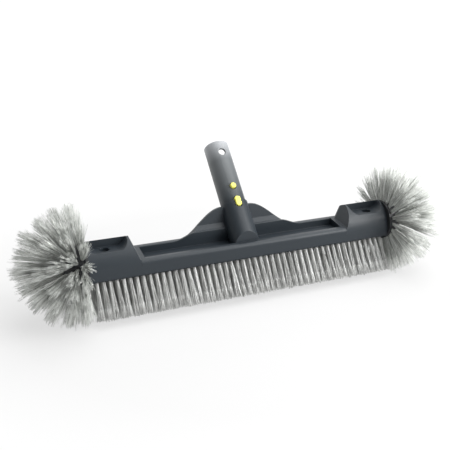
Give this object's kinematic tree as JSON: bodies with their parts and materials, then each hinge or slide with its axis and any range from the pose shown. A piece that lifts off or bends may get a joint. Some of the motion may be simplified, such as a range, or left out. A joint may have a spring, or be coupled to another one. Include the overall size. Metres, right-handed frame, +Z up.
{
  "type": "pool wall brush",
  "caption": "Pool wall brush: long straight bristle back with domed brush ends, a leaning pole insert and a spring clip with lock pins and push buttons.",
  "frame": {"origin": "on the plane that the bristle tips stand on, under the middle of the whole brush's bounding box", "axes": "+X along the brush back, +Y to the side the handle leans to, +Z up from the bristle tips"},
  "size_m": [0.4952, 0.1464, 0.155],
  "materials": {
    "back_plastic": "satin",
    "plate_plastic": "satin",
    "hub_plastic": "satin",
    "row_bristles": "matte",
    "end_bristles": "matte",
    "anchor_steel": "satin",
    "screw_steel": "satin",
    "spring_steel": "satin",
    "clip_plastic": "gloss"
  },
  "bodies": {
    "brush": {"brush_back": "back_plastic", "bristle_plate": "plate_plastic", "tuft_row_front": "row_bristles", "tuft_row_second": "row_bristles", "tuft_row_middle": "row_bristles", "tuft_row_fourth": "row_bristles", "tuft_row_rear": "row_bristles", "tuft_anchors": "anchor_steel", "left_end_hub": "hub_plastic", "right_end_hub": "hub_plastic", "left_end_bristles": "end_bristles", "right_end_bristles": "end_bristles", "left_end_anchors": "anchor_steel", "right_end_anchors": "anchor_steel", "left_hub_screw": "screw_steel", "right_hub_screw": "screw_steel", "clip_spring_bend": "spring_steel"},
    "front_clip": {"front_spring_leaf": "spring_steel", "front_push_block": "clip_plastic"},
    "rear_clip": {"rear_spring_leaf": "spring_steel", "rear_push_block": "clip_plastic"}
  },
  "joints": [
    {"name": "front_button_press", "type": "hinge", "parent": "brush", "child": "front_clip", "pos_m": [0, 0.04689, 0.13317], "axis": [1, 0, 0], "range_deg": [0, 5.5], "stiffness_Nm_per_rad": 2, "springref_deg": -2.86},
    {"name": "rear_button_press", "type": "hinge", "parent": "brush", "child": "rear_clip", "pos_m": [0, 0.05736, 0.12271], "axis": [-1, 0, 0], "range_deg": [0, 5.5], "stiffness_Nm_per_rad": 2, "springref_deg": -2.86}
  ]
}
